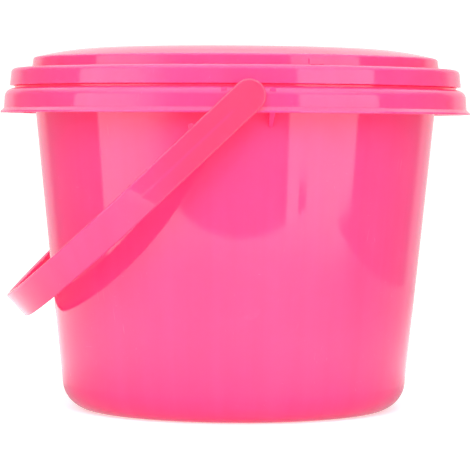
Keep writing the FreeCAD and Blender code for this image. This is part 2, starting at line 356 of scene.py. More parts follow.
class Wiring:
    """Adds nodes to a tree and joins them up."""

    def __init__(self, tree: bpy.types.NodeTree) -> None:
        """Keeps the tree that the nodes go into."""
        self.tree = tree

    def add(self, kind: str, *sources: object, **settings: object) -> bpy.types.Node:
        """Adds a node.

        Args:
            kind: the node's type name, without its ShaderNode prefix.
            sources: what feeds its first inputs, in their order.
            settings: properties of the node.

        Returns:
            The new node.
        """
        node = self.tree.nodes.new("ShaderNode" + kind)
        for key, value in settings.items():
            setattr(node, key, value)
        for socket, source in zip(node.inputs, sources):
            self.feed(socket, source)
        return node

    def feed(self, socket: Socket, source: object) -> None:
        """Gives an input a link or a plain value.

        Args:
            socket: the input.
            source: an output to link, or a value.
        """
        if isinstance(source, Socket):
            self.tree.links.new(source, socket)
        else:
            socket.default_value = source

    def math(self, operation: str, *sources: object) -> Socket:
        """Adds a Math node fed by numbers or outputs, and returns its output."""
        return self.add("Math", *sources, operation=operation).outputs[0]

    def times(self, first: object, second: object) -> Socket:
        """Multiplies two values."""
        return self.math("MULTIPLY", first, second)

    def plus(self, value: object, factor: object, more: object) -> Socket:
        """Multiplies a value by a factor and adds more."""
        return self.math("MULTIPLY_ADD", value, factor, more)

    def axes(self, spot: object) -> Sockets:
        """Splits a place or a direction into its X, Y and Z."""
        return self.add("SeparateXYZ", spot).outputs

    def vector(self, operation: str, *sources: object) -> Socket:
        """Adds a Vector Math node fed by places, and returns the place that it puts out."""
        return self.add("VectorMath", *sources, operation=operation).outputs[0]

    def grown(self, spot: object, factor: object) -> Socket:
        """Scales a place evenly.

        Args:
            spot: the place.
            factor: how many times larger it gets.

        Returns:
            The scaled place.
        """
        node = self.add("VectorMath", spot, operation="SCALE")
        self.feed(node.inputs["Scale"], factor)
        return node.outputs[0]

    def ramp(self, source: object, low: object, high: object, out_low: float = 0.0,
             out_high: float = 1.0) -> Socket:
        """Maps a value smoothly from one range to another, clamped.

        Args:
            source: the value.
            low: start of the range, a number or an output.
            high: end of the range, a number or an output.
            out_low: result at low.
            out_high: result at high.

        Returns:
            The mapped value.
        """
        node = self.add("MapRange", source, low, high, out_low, out_high, interpolation_type="SMOOTHSTEP")
        return node.outputs[0]

    def noise(self, spot: object, scale: float, detail: float, roughness: float) -> Socket:
        """Adds a noise texture.

        Args:
            spot: the place.
            scale: how closely its patches are packed.
            detail: how many finer layers it has.
            roughness: how strong those are.

        Returns:
            The noise, from 0 to 1.
        """
        node = self.add("TexNoise", spot)
        node.inputs["Scale"].default_value = scale
        node.inputs["Detail"].default_value = detail
        node.inputs["Roughness"].default_value = roughness
        return node.outputs["Fac"]

    def stretched(self, spot: object, scale: Place) -> Socket:
        """Scales a place by axis, so that a pattern is drawn out.

        Args:
            spot: the place.
            scale: factors along X, Y and Z.

        Returns:
            The stretched place.
        """
        node = self.add("Mapping", spot)
        node.inputs["Scale"].default_value = scale
        return node.outputs[0]

    def mix(self, factor: object, first: object, second: object) -> Socket:
        """Mixes two colours by a factor.

        Args:
            factor: how much of the second there is.
            first: the first colour.
            second: the second colour.

        Returns:
            The mixed colour.
        """
        node = self.add("Mix", data_type="RGBA")
        self.feed(node.inputs["Factor"], factor)
        self.feed(node.inputs["A"], first)
        self.feed(node.inputs["B"], second)
        return node.outputs["Result"]


def new_group(name: str, inputs: dict[str, float], outputs: Sequence[str]) -> tuple[Wiring, Sockets, Sockets]:
    """Starts a shader node group that reads a place and gives out values.

    Args:
        name: the group's name.
        inputs: its number inputs, with their defaults.
        outputs: its value outputs.

    Returns:
        The group's wiring, what comes into it and what goes out.
    """
    group = bpy.data.node_groups.new(name, "ShaderNodeTree")
    group.interface.new_socket(name="Place", in_out="INPUT", socket_type="NodeSocketVector")
    for title, value in inputs.items():
        socket = group.interface.new_socket(name=title, in_out="INPUT", socket_type="NodeSocketFloat")
        socket.default_value = value
    for title in outputs:
        group.interface.new_socket(name=title, in_out="OUTPUT", socket_type="NodeSocketFloat")
    return Wiring(group), group.nodes.new("NodeGroupInput").outputs, group.nodes.new("NodeGroupOutput").inputs


def new_material(name: str) -> tuple[bpy.types.Material, Wiring, Sockets]:
    """Starts a material.

    Args:
        name: its name.

    Returns:
        The material, its wiring and the inputs of its main shader.
    """
    material = bpy.data.materials.new(name)
    material.use_nodes = True
    return material, Wiring(material.node_tree), material.node_tree.nodes["Principled BSDF"].inputs


def moulded_skin() -> bpy.types.NodeTree:
    """Makes the skin that every moulding has.

    Returns:
        A group that puts out Cloud (slow drift of the pigment), Ripple (height of the faint unevenness of a
        polished mould), Haze (patches of handling haze) and Scuff (hair-fine scratches).
    """
    wiring, entry, leave = new_group("Moulded skin", {"Grain": 1.0}, ("Cloud", "Ripple", "Haze", "Scuff"))
    spot = wiring.grown(entry["Place"], entry["Grain"])
    wiring.feed(leave["Cloud"], wiring.noise(spot, 14, 3, 0.5))
    slow = wiring.noise(spot, 30, 2, 0.5)
    orange_peel = wiring.noise(spot, 420, 2, 0.5)
    wiring.feed(leave["Ripple"], wiring.plus(orange_peel, 0.06, slow))
    haze = wiring.ramp(wiring.noise(spot, 22, 4, 0.6), 0.45, 0.75)
    wiring.feed(leave["Haze"], haze)
    scratch = None
    for stretch, seed in (((60, 900, 60), 0.31), ((900, 70, 300), 0.67), ((300, 60, 900), 0.12)):
        shifted = wiring.vector("ADD", wiring.stretched(spot, stretch), (seed, -seed, 2 * seed))
        line = wiring.ramp(wiring.noise(shifted, 1, 1, 0.4), 0.74, 0.8)
        scratch = line if scratch is None else wiring.math("MAXIMUM", scratch, line)
    wiring.feed(leave["Scuff"], wiring.times(scratch, haze))
    return wiring.tree


def mould_flow() -> bpy.types.NodeTree:
    """Makes the faint streaks left where the melt ran out from a gate at the centre.

    Returns:
        A group that puts out Streak, which follows the angle round the Z axis and drifts with height.
    """
    wiring, entry, leave = new_group("Mould flow", {"Streaks": 9.0, "Drift": 5.0}, ("Streak",))
    parts = wiring.axes(entry["Place"])
    facing = wiring.vector("NORMALIZE", wiring.add("CombineXYZ", parts[0], parts[1]).outputs[0])
    risen = wiring.add("CombineXYZ", 0, 0, wiring.times(parts[2], entry["Drift"])).outputs[0]
    spot = wiring.vector("ADD", wiring.grown(facing, entry["Streaks"]), risen)
    wiring.feed(leave["Streak"], wiring.noise(spot, 1, 3, 0.55))
    return wiring.tree


@dataclass(frozen=True)
class MouldedPlastic:
    """Hot-pink polypropylene with a polished skin, slightly see-through in its depth.

    Args:
        name: the material's name.
        colour: main colour.
        deep: the colour where the pigment is thicker.
        milky: the colour where the skin is hazed.
        roughness: roughness of the clean polished skin.
        glow: share of the light that spreads inside the wall.
        ripple: depth of the skin's unevenness.
        grain: how closely the skin's patterns are packed.
        streaks: how many flow streaks run round a half turn.
        drift: how fast the streaks change with height.
        painted_shade_colour: painted shade, a darker colour where light passes out behind a hollow part, or
            None.
        spread: how far red, green and blue travel inside the wall.
        painted_red_glow: strength of a painted red glow that lifts the shade, partly for the fluorescing
            pigment.
        painted_red_glow_colour: colour of that painted glow.
        ior: index of refraction.
        haze_milk: how far haze turns the colour milky.
        scuff_milk: how far a scuff does.
        haze_roughness: what haze adds to the roughness.
        scuff_roughness: what a scuff adds.
    """

    name: str
    colour: Colour
    deep: Colour
    milky: Colour
    roughness: float = 0.055
    glow: float = 0.5
    ripple: float = 0.03 * MM
    grain: float = 1.0
    streaks: float = 9.0
    drift: float = 5.0
    painted_shade_colour: Colour | None = None
    spread: Place = (24 * MM, 2.5 * MM, 5.0 * MM)
    painted_red_glow: float = 0.16
    painted_red_glow_colour: Colour = (1.0, 0.03, 0.12, 1)
    ior: float = 1.49
    haze_milk: float = 0.08
    scuff_milk: float = 0.5
    haze_roughness: float = 0.03
    scuff_roughness: float = 0.12

    def material(self, skin: bpy.types.NodeTree, flow: bpy.types.NodeTree,
                 marks: Callable[[Wiring, object], Socket] | None = None,
                 painted_shade_mask: Callable[[Wiring, object], Socket] | None = None) -> bpy.types.Material:
        """Makes the material.

        Args:
            skin: the shared moulded skin.
            flow: the shared mould flow.
            marks: adds a piece's own shallow marks, and returns their height, negative where they sink in.
            painted_shade_mask: adds a piece's own mask of painted shade, on its hollow parts.

        Returns:
            The material, ready to put on a piece.
        """
        material, wiring, shader = new_material(self.name)
        spot = wiring.add("TexCoord").outputs["Object"]
        surface = self.shared(wiring, skin, Place=spot, Grain=self.grain)
        streak = self.shared(wiring, flow, Place=spot, Streaks=self.streaks, Drift=self.drift)["Streak"]
        drift = wiring.plus(streak, 0.6, wiring.times(surface["Cloud"], 0.4))
        colour = wiring.mix(wiring.ramp(drift, 0.36, 0.64), self.deep, self.colour)
        # Painted shade: a darker colour where the mask says light is lost through a hollow part
        if painted_shade_mask is not None and self.painted_shade_colour is not None:
            colour = wiring.mix(painted_shade_mask(wiring, spot), colour, self.painted_shade_colour)
        rough = self.roughness
        for wear, milk, roughness in (("Haze", self.haze_milk, self.haze_roughness),
                                      ("Scuff", self.scuff_milk, self.scuff_roughness)):
            colour = wiring.mix(wiring.times(surface[wear], milk), colour, self.milky)
            rough = wiring.plus(surface[wear], roughness, rough)
        height = surface["Ripple"]
        if marks is not None:
            height = wiring.math("ADD", height, marks(wiring, spot))
        bump = wiring.add("Bump")
        red, green, blue = self.spread
        for socket, source in (
            (bump.inputs["Strength"], 1.0),
            (bump.inputs["Distance"], self.ripple),
            (bump.inputs["Height"], height),
            (shader["Base Color"], colour),
            (shader["Roughness"], rough),
            (shader["Normal"], bump.outputs[0]),
            (shader["IOR"], self.ior),
            # Emission: a painted red glow that lifts the shade, partly for the fluorescing pigment
            (shader["Emission Color"], self.painted_red_glow_colour),
            (shader["Emission Strength"], self.painted_red_glow),
            (shader["Subsurface Weight"], self.glow),
            (shader["Subsurface Radius"], (1.0, green / red, blue / red)),
            (shader["Subsurface Scale"], red),
        ):
            wiring.feed(socket, source)
        return material

    def shared(self, wiring: Wiring, group: bpy.types.NodeTree, **inputs: object) -> Sockets:
        """Places one of the shared groups with this plastic's own values.

        Args:
            wiring: the material's wiring.
            group: the shared group.
            inputs: what feeds each of its inputs.

        Returns:
            What the group puts out.
        """
        node = wiring.add("Group", node_tree=group)
        for title, source in inputs.items():
            wiring.feed(node.inputs[title], source)
        return node.outputs


# ---------------------------------------------------------------- the tub

@dataclass
class Tub:
    """The bucket: bottom, tapered wall, rim bead, shoulder, hanging skirt, gussets and pivot holes.

    Args:
        lip_radius: the widest radius, at the skirt's lip.
        rim_top: height of the rim bead's top.
    """

    lip_radius: float
    rim_top: float
    base_radius: float = 90.1 * MM
    slope: float = 0.1017
    wall: float = 1.9 * MM
    corner: float = 16.0 * MM
    floor: float = 2.2 * MM
    push_up: float = 1.0 * MM
    foot_radius: float = 64.0 * MM
    foot_ramp: float = 2.0 * MM
    gate_radius: float = 3.5 * MM
    gate_drop: float = 0.5 * MM
    mouth_radius: float = 107.6 * MM
    flare_bottom: float = 166.0 * MM
    flare_top: float = 170.0 * MM
    bead_radius: float = 116.7 * MM
    bead_neck: float = 115.9 * MM
    seat_radius: float = 117.4 * MM
    seat_top: float = 171.3 * MM
    bead_wall: float = 1.7 * MM
    neck_top: float = 174.0 * MM
    bulge_bottom: float = 175.4 * MM
    shoulder_top: float = 170.3 * MM
    shoulder_round: float = 4.8 * MM
    skirt_radius: float = 122.5 * MM
    skirt_foot_radius: float = 123.1 * MM
    skirt_foot: float = 159.9 * MM
    skirt_foot_round: float = 1.0 * MM
    skirt_wall: float = 1.6 * MM
    lip_bottom: float = 157.2 * MM
    lip_edge: float = 0.9 * MM
    gusset_offset: float = 12.0 * MM
    gusset_top_width: float = 2.8 * MM
    gusset_foot_width: float = 2.1 * MM
    gusset_foot: float = 150.2 * MM
    pivot_height: float = 165.4 * MM
    hole_radius: float = 2.26 * MM
    sink_core: float = 0.4 * MM
    sink_edge: float = 1.6 * MM
    sink_height: float = -0.4
    steps: int = 288
    hole_steps: int = 32

    def wall_radius(self, height: float) -> float:
        """Outer radius of the wall at a height."""
        return self.base_radius + self.slope * height

    def outline(self) -> list[Corner]:
        """The whole section, from the centre of the underside round to the centre of the inside.

        Returns:
            The outline's corners.
        """
        mouth_outer = self.mouth_radius + self.wall
        under_bead = self.rim_top - self.bead_wall
        bead_inner = self.bead_neck - self.bead_wall
        shoulder_under = self.shoulder_top - self.skirt_wall
        skirt_inner = self.skirt_radius - self.skirt_wall
        inner_base = self.base_radius - self.wall
        flare_inner = self.wall_radius(self.flare_bottom) - self.wall
        return [
            Corner(0, self.push_up - self.gate_drop),
            Corner(self.gate_radius, self.push_up - self.gate_drop, self.gate_drop / 3),
            Corner(self.gate_radius + self.gate_drop / 2, self.push_up, self.gate_drop / 3),
            Corner(self.foot_radius - self.foot_ramp, self.push_up, SMALL),
            Corner(self.foot_radius, 0, SMALL),
            Corner(self.base_radius, 0, self.corner),
            Corner(self.wall_radius(self.flare_bottom), self.flare_bottom, SMALL),
            Corner(mouth_outer, self.flare_top, SMALL),
            Corner(mouth_outer, under_bead, FINE),
            Corner(bead_inner, under_bead, FINE),
            Corner(bead_inner, shoulder_under, FINE),
            Corner(skirt_inner, shoulder_under, self.shoulder_round - self.skirt_wall),
            Corner(skirt_inner, self.lip_bottom + self.skirt_wall, FINE),
            Corner(skirt_inner + SMALL, self.lip_bottom, FINE),
            Corner(self.lip_radius, self.lip_bottom, FINE),
            Corner(self.lip_radius, self.lip_bottom + self.lip_edge, FINE),
            Corner(self.skirt_foot_radius, self.skirt_foot, self.skirt_foot_round),
            Corner(self.skirt_radius, self.shoulder_top, self.shoulder_round),
            Corner(self.seat_radius, self.shoulder_top),
            Corner(self.seat_radius, self.seat_top, FINE / 2),
            Corner(self.bead_neck, self.seat_top + SMALL),
            Corner(self.bead_neck, self.neck_top, SMALL),
            Corner(self.bead_radius, self.bulge_bottom, SMALL),
            Corner(self.bead_radius, self.rim_top, SMALL + FINE),
            Corner(self.mouth_radius, self.rim_top, SMALL),
            Corner(self.mouth_radius, self.flare_top + self.wall, SMALL + FINE),
            Corner(flare_inner, self.flare_bottom, SMALL + FINE),
            Corner(inner_base + self.slope * self.floor, self.floor, self.corner - self.wall),
            Corner(self.foot_radius, self.floor, SMALL),
            Corner(self.foot_radius - self.foot_ramp, self.floor + self.push_up, SMALL),
            Corner(0, self.floor + self.push_up),
        ]

    def gusset(self, side: int, offset: float) -> Piece:
        """A tapered plate between skirt and wall, thinner at its foot.

        Args:
            side: -1 for the front pivot, 1 for the back one.
            offset: its middle, along X.

        Returns:
            The plate, with softened edges.
        """
        outer = self.skirt_radius - self.skirt_wall / 2
        inner = self.wall_radius(self.gusset_foot) - self.wall / 2
        foot_outer = self.wall_radius(self.gusset_foot) + SMALL
        top = self.shoulder_top - self.skirt_wall / 2
        left = offset - self.gusset_top_width / 2
        outline = [
            Vector((left, side * inner, self.gusset_foot)),
            Vector((left, side * foot_outer, self.gusset_foot)),
            Vector((left, side * outer, self.lip_bottom + SMALL)),
            Vector((left, side * outer, top)),
            Vector((left, side * inner, top)),
        ]
        piece = plate("gusset", outline, Vector((self.gusset_top_width, 0, 0)))
        pick(piece, lambda point: point.z < self.gusset_foot + NEAR)
        shrink = self.gusset_foot_width / self.gusset_top_width
        bpy.ops.transform.resize(value=(shrink, 1, 1), center_override=(offset, 0, 0))
        soften(piece, FINE * 0.7, math.radians(60))
        return piece

    def build(self) -> Piece:
        """Builds the tub as one closed moulding.

        Returns:
            The finished tub.
        """
        tub = turned("bucket_tub", self.outline(), self.steps)
        for side in (-1, 1):
            for offset in (-self.gusset_offset, self.gusset_offset):
                combine(tub, self.gusset(side, offset), Blend.JOIN)
            start_fresh()
            middle = side * (self.skirt_radius - self.skirt_wall / 2)
            bpy.ops.mesh.primitive_cylinder_add(
                vertices=self.hole_steps, radius=self.hole_radius, depth=4 * self.skirt_wall,
                location=(0, middle, self.pivot_height), rotation=(QUARTER_TURN, 0, 0))
            combine(tub, bpy.context.object, Blend.CUT)
        polish(tub)
        return tub

    def marks(self, wiring: Wiring, spot: object) -> Socket:
        """Sink marks down the skirt's outside, where the gussets stand behind it.

        Args:
            wiring: the material's wiring.
            spot: the place on the piece.

        Returns:
            The marks' height.
        """
        parts = wiring.axes(spot)
        across = wiring.math("ABSOLUTE", parts[0])
        distance = wiring.math("ABSOLUTE", wiring.math("SUBTRACT", across, self.gusset_offset))
        line = wiring.ramp(distance, self.sink_core, self.sink_edge, 1, 0)
        depth_way = wiring.math("ABSOLUTE", parts[1])
        outside = wiring.ramp(depth_way, self.skirt_radius - 1.5 * MM, self.skirt_radius - 1.2 * MM)
        return wiring.times(wiring.times(line, outside), self.sink_height)


# ---------------------------------------------------------------- the lid

@dataclass
class Lid:
    """The press-on cover: skirt over the rim bead, step, raised domed panel and plug ring.

    Args:
        top: height of the flat middle.
    """

    top: float
    skirt_bottom: float = 171.6 * MM
    skirt_radius: float = 119.1 * MM
    foot_radius: float = 120.0 * MM
    wall: float = 1.6 * MM
    ledge_top: float = 180.9 * MM
    ledge_round: float = 2.6 * MM
    snap_radius: float = 117.05 * MM
    snap_height: float = 173.9 * MM
    snap_ramp: float = 2.4 * MM
    panel_foot_radius: float = 108.3 * MM
    panel_top_radius: float = 107.5 * MM
    panel_round: float = 1.5 * MM
    dome_radius: float = 161.0 * MM
    dome_flat: float = 67.0 * MM
    plug_radius: float = 107.2 * MM
    plug_wall: float = 1.5 * MM
    plug_bottom: float = 173.3 * MM
    gate_radius: float = 2.2 * MM
    gate_sink: float = 0.25 * MM
    pad_turn: float = math.radians(18.7)
    pad_width: float = 8.0 * MM
    pad_height: float = 3.2 * MM
    pad_rise: float = 0.25 * MM
    pad_lift: float = 0.62
    steps: int = 288
    dome_flats: int = 14

    def dome_height(self, across: float, drop: float) -> float:
        """Height of the dome at a distance from the axis, or of its underside a drop below."""
        radius = self.dome_radius - drop
        return self.top - self.dome_radius + math.sqrt(radius ** 2 - max(0.0, across - self.dome_flat) ** 2)

    def dome(self, outermost: float, drop: float) -> list[Corner]:
        """The dome's arc, from its flat middle out to a radius.

        Args:
            outermost: the radius that it stops short of.
            drop: how far below the outside it runs.

        Returns:
            The arc's corners, from the middle outwards.
        """
        reach = outermost - self.dome_flat
        spots = [self.dome_flat + reach * step / self.dome_flats for step in range(self.dome_flats)]
        return [Corner(across, self.dome_height(across, drop)) for across in spots]

    def outline(self) -> list[Corner]:
        """The whole section, from the centre of the top round to the centre of the underside.

        Returns:
            The outline's corners.
        """
        ledge_under = self.ledge_top - self.wall
        skirt_inner = self.skirt_radius - self.wall
        plug_inner = self.plug_radius - self.plug_wall
        edge_up = self.dome_height(self.panel_top_radius, 0)
        sunk = self.top - self.gate_sink
        return [
            Corner(0, sunk),
            Corner(self.gate_radius, sunk, self.gate_sink / 3),
            Corner(self.gate_radius + self.gate_sink, self.top, self.gate_sink / 3),
            *self.dome(self.panel_top_radius, 0),
            Corner(self.panel_top_radius, edge_up, self.panel_round),
            Corner(self.panel_foot_radius, self.ledge_top, FINE),
            Corner(self.skirt_radius, self.ledge_top, self.ledge_round),
            Corner(self.foot_radius, self.skirt_bottom, FINE),
            Corner(skirt_inner + SMALL, self.skirt_bottom, FINE),
            Corner(self.snap_radius, self.snap_height - FINE, FINE / 2),
            Corner(self.snap_radius, self.snap_height + FINE, FINE / 2),
            Corner(skirt_inner, self.snap_height + self.snap_ramp, FINE),
            Corner(skirt_inner, ledge_under, self.wall),
            Corner(self.plug_radius, ledge_under, FINE),
            Corner(self.plug_radius, self.plug_bottom + self.wall, FINE),
            Corner(self.plug_radius - SMALL, self.plug_bottom, FINE / 2),
            Corner(plug_inner, self.plug_bottom, FINE / 2),
            Corner(plug_inner, self.dome_height(plug_inner, self.wall), SMALL),
            *reversed(self.dome(plug_inner, self.wall)),
            Corner(0, self.top - self.wall),
        ]

    def pad(self) -> Piece:
        """A low oblong pad on the panel's upright edge, left by the ejector.

        Returns:
            The pad, turned to its place.
        """
        start_fresh()
        middle = self.ledge_top + self.pad_height * self.pad_lift
        bpy.ops.mesh.primitive_cube_add(size=1, location=(0, -self.panel_foot_radius, middle))
        pad = bpy.context.object
        pad.scale = (self.pad_width, 2 * self.pad_rise, self.pad_height)
        place_in_mesh(pad)
        soften(pad, self.pad_rise * 0.6, math.radians(60))
        return place(pad, turn=(0, 0, self.pad_turn))

    def build(self) -> Piece:
        """Builds the lid as one closed moulding.

        Returns:
            The finished lid.
        """
        lid = turned("press_on_lid", self.outline(), self.steps)
        combine(lid, self.pad(), Blend.JOIN)
        polish(lid)
        return lid


# ---------------------------------------------------------------- the handle

@dataclass(frozen=True)
class Bend:
    """One tangent arc of the bow.

    Args:
        radius: radius of the handle's outside face.
        start: heading where it starts, turned off the leg.
        end: heading where it ends.
        steps: flats along it.
    """

    radius: float
    start: float
    end: float
    steps: int


@dataclass
class StrapHandle:
    """The strap handle: two legs with pivot pins and hollow insides, and a bow with a flat grip.

    It is built level, pointing to -X from pivots on the Y axis, and then drooped to its rest angle.
    """

    droop: float = math.radians(43.7)
    pivot_height: float = 165.4 * MM
    half_span: float = 130.4 * MM
    leg: float = 57.7 * MM
    bend_radius: float = 66.0 * MM
    bend_turn: float = math.radians(37.6)
    flank_radius: float = 162.6 * MM
    flank_turn: float = math.radians(45.5)
    strap: float = 3.2 * MM
    half_width: float = 8.25 * MM
    grip_half_width: float = 7.95 * MM
    edge_round: float = 1.15 * MM
    channel_depth: float = 1.4 * MM
    channel_half_width: float = 6.0 * MM
    channel_turn: float = math.radians(60)
    channel_round: float = 0.8 * MM
    boss_radius: float = 7.4 * MM
    rib_half_width: float = 0.6 * MM
    rib_end: float = 69.0 * MM
    sink_half_width: float = 0.45 * MM
    sink_depth: float = 0.1 * MM
    sink_start: float = 10.5 * MM
    sink_pull: float = 61.0 * MM
    tab_along: float = 31.0 * MM
    tab_radius: float = 1.6 * MM
    tab_rise: float = 0.1 * MM
    pin_radius: float = 2.2 * MM
    head_radius: float = 2.8 * MM
    head_outer: float = 118.2 * MM
    head_inner: float = 116.0 * MM
    tip_radius: float = 1.7 * MM
    collar_radius: float = 4.2 * MM
    collar_face: float = 123.3 * MM
    pin_round: float = 0.2 * MM
    crisp_round: float = 0.3 * MM
    pin_steps: int = 48
    tab_steps: int = 32
    end_steps: int = 28
    boss_steps: int = 72
    solid_grip: float = -82.0 * MM
    hollow_leg: float = -15.0 * MM
    # share by which the painted shade is lighter over the rib
    rib_shade_cut: float = 0.35
    bends: tuple[Bend, ...] = field(init=False)

    def __post_init__(self) -> None:
        """Works out the closing arc round the grip."""
        flank_end = self.bend_turn + self.flank_turn
        grip_across = self.half_span
        for radius, start, end in ((self.bend_radius, 0.0, self.bend_turn),
                                   (self.flank_radius, self.bend_turn, flank_end)):
            grip_across -= radius * (math.cos(start) - math.cos(end))
        self.bends = (
            Bend(self.bend_radius, 0.0, self.bend_turn, 12),
            Bend(self.flank_radius, self.bend_turn, flank_end, 18),
            Bend(grip_across / math.cos(flank_end), flank_end, QUARTER_TURN, 5),
        )

    def section(self, name: str, outer: float, inner: float, half_width: float, rounding: float) -> Piece:
        """A rounded flat section at the front pivot, facing along the leg.

        Args:
            name: the piece's name.
            outer: distance of its outside face from the centre.
            inner: distance of its inside face.
            half_width: half its width.
            rounding: radius of its corners.

        Returns:
            The section, cut along its middle.
        """
        start_fresh()
        middle = (0, -(outer + inner) / 2, 0)
        bpy.ops.mesh.primitive_plane_add(size=1, rotation=(0, QUARTER_TURN, 0), location=middle)
        piece = bpy.context.object
        piece.name = name
        bpy.ops.object.transform_apply(location=True, rotation=True)
        edit(piece)
        bpy.ops.transform.resize(value=(1, outer - inner, 2 * half_width), center_override=middle)
        bpy.ops.mesh.bevel(offset_type="OFFSET", offset=rounding, segments=3, affect="VERTICES")
        for cut in (-3 * self.sink_half_width, -self.sink_half_width, 0, self.sink_half_width,
                    3 * self.sink_half_width):
            select_all()
            bpy.ops.mesh.bisect(plane_co=(0, 0, cut), plane_no=(0, 0, 1))
        select_all()
        return piece

    def narrow(self, before: float, after: float) -> None:
        """Narrows the selected section a little, by how far along the leg it has come.

        Args:
            before: how far along the leg it was.
            after: how far along it is now.
        """
        reach = self.outside(QUARTER_TURN)[0]
        loss = (self.half_width - self.grip_half_width) / reach
        ratio = (self.half_width - loss * after) / (self.half_width - loss * before)
        bpy.ops.transform.resize(value=(1, 1, ratio), center_override=(0, 0, 0))

    def outside(self, heading: float) -> Span:
        """How far along the leg and how far across the outside face is, where the bow has a heading.

        Args:
            heading: angle that the bow has turned off the leg.

        Returns:
            The distance along the leg and the distance across.
        """
        along, across = self.leg, self.half_span
        for bend in self.bends:
            end = min(heading, bend.end)
            if end <= bend.start:
                break
            along += bend.radius * (math.sin(end) - math.sin(bend.start))
            across -= bend.radius * (math.cos(bend.start) - math.cos(end))
        return along, across

    def sweep(self, last: float, tapered: bool) -> None:
        """Runs the selected section along the leg and round the bow.

        Args:
            last: heading at which it stops.
            tapered: True to narrow it towards the grip.
        """
        stations = (0.0, self.sink_start - SMALL, self.sink_start, self.leg)
        for before, after in pairwise(stations):
            extrude((before - after, 0, 0))
            if tapered:
                self.narrow(before, after)
        for bend in self.bends:
            end = min(bend.end, last)
            if end <= bend.start:
                break
            along, across = self.outside(bend.start)
            centre = (-(along - bend.radius * math.sin(bend.start)),
                      -(across - bend.radius * math.cos(bend.start)), 0)
            steps = max(2, round(bend.steps * (end - bend.start) / (bend.end - bend.start)))
            step = (end - bend.start) / steps
            for number in range(steps):
                bpy.ops.mesh.spin(steps=1, angle=step, center=centre, axis=(0, 0, 1))
                if tapered:
                    self.narrow(self.outside(bend.start + step * number)[0],
                                self.outside(bend.start + step * (number + 1))[0])

    def round_end(self, piece: Piece, centre: Vector, along: Vector) -> None:
        """Rounds off a flat end by spinning the upper half of its section over to the lower half.

        Args:
            piece: the piece with the end.
            centre: a point of the line that the end is spun about.
            along: the way that the end faces.
        """
        def at_end(point: Vector) -> bool:
            """True on the end's plane."""
            return abs((point - centre).dot(along)) < NEAR

        across = along.cross(Vector((0, 0, 1)))
        pick(piece, lambda point: at_end(point) and point.z < NEAR, faces=True)
        bpy.ops.mesh.delete(type="FACE")
        start_fresh()
        pick(piece, lambda point: at_end(point) and point.z > -NEAR, faces=True)
        bpy.ops.mesh.spin(steps=self.end_steps, angle=HALF_TURN, center=centre, axis=across)
        bpy.ops.mesh.delete(type="FACE")
        settle(piece)

    def sink(self, piece: Piece) -> None:
        """Pushes in the faint line that the rib leaves down the outside face, deeper where the rib ends.

        Args:
            piece: the swept strap.
        """
        outside = -(self.half_span - self.strap / 2)
        for start, end in ((self.sink_start, self.rib_end), (self.sink_pull, self.rib_end)):
            pick(piece, lambda point: abs(point.z) < NEAR and point.y < outside
                 and -end < point.x < NEAR - start)
            bpy.ops.transform.translate(value=(0, self.sink_depth, 0))
        start_fresh()

    def channel(self) -> Piece:
        """The hollow inside the front leg: round at both ends, with a rib left standing down its middle.

        Returns:
            The solid that is cut out of the leg.
        """
        bottom = self.half_span - (self.strap - self.channel_depth)
        tool = self.section("channel", bottom, bottom - 2 * self.channel_depth - SMALL,
                            self.channel_half_width, self.channel_round)
        self.sweep(self.channel_turn, tapered=False)
        heading = Vector((-math.cos(self.channel_turn), math.sin(self.channel_turn), 0))
        along, across = self.outside(self.channel_turn)
        self.round_end(tool, Vector((-along, -across, 0)), heading)
        start_fresh()
        bpy.ops.mesh.primitive_cylinder_add(
            vertices=self.boss_steps, radius=self.boss_radius, depth=10 * self.strap,
            location=(0, -self.half_span, 0), rotation=(QUARTER_TURN, 0, 0))
        combine(tool, bpy.context.object, Blend.CUT)
        start_fresh()
        bpy.ops.mesh.primitive_cube_add(size=1, location=(-self.rib_end / 2, -self.half_span, 0))
        rib = bpy.context.object
        rib.scale = (self.rib_end, 10 * self.strap, 2 * self.rib_half_width)
        place_in_mesh(rib)
        combine(tool, rib, Blend.CUT)
        pick(tool, lambda point: point.x > -self.boss_radius / 2)
        bpy.ops.mesh.delete(type="VERT")
        start_fresh()
        return tool

    def pin(self) -> Piece:
        """The front pivot pin with its spacer collar and its head.

        Returns:
            The pin, in its place at the front.
        """
        root = self.half_span - self.strap / 2
        corners = [
            Corner(0, root),
            Corner(self.collar_radius, root),
            Corner(self.collar_radius, self.collar_face, self.crisp_round),
            Corner(self.pin_radius, self.collar_face, self.pin_round),
            Corner(self.pin_radius, self.head_outer, self.pin_round),
            Corner(self.head_radius, self.head_outer, self.pin_round),
            Corner(self.head_radius, self.head_outer - SMALL, self.pin_round),
            Corner(self.tip_radius, self.head_inner, self.crisp_round),
            Corner(0, self.head_inner),
        ]
        pin = turned("pin", corners, self.pin_steps)
        return place(pin, turn=(QUARTER_TURN, 0, 0))

    def build(self) -> Piece:
        """Builds the handle as one closed moulding, drooped to its rest angle.

        Returns:
            The finished handle.
        """
        handle = self.section("strap_handle", self.half_span, self.half_span - self.strap, self.half_width,
                              self.edge_round)
        self.sweep(QUARTER_TURN, tapered=True)
        self.round_end(handle, Vector((0, -self.half_span, 0)), Vector((1, 0, 0)))
        self.sink(handle)
        combine(handle, self.channel(), Blend.CUT)
        combine(handle, self.pin(), Blend.JOIN)
        pick(handle, lambda point: abs(point.y) < NEAR, faces=True)
        bpy.ops.mesh.delete(type="FACE")
        start_fresh()
        modify(handle, "Back half", "MIRROR", use_axis=(False, True, False), merge_threshold=NEAR)
        settle(handle)
        combine(handle, self.tab(), Blend.JOIN)
        place(handle, turn=(0, -self.droop, 0))
        place(handle, move=(0, 0, self.pivot_height))
        polish(handle)
        return handle

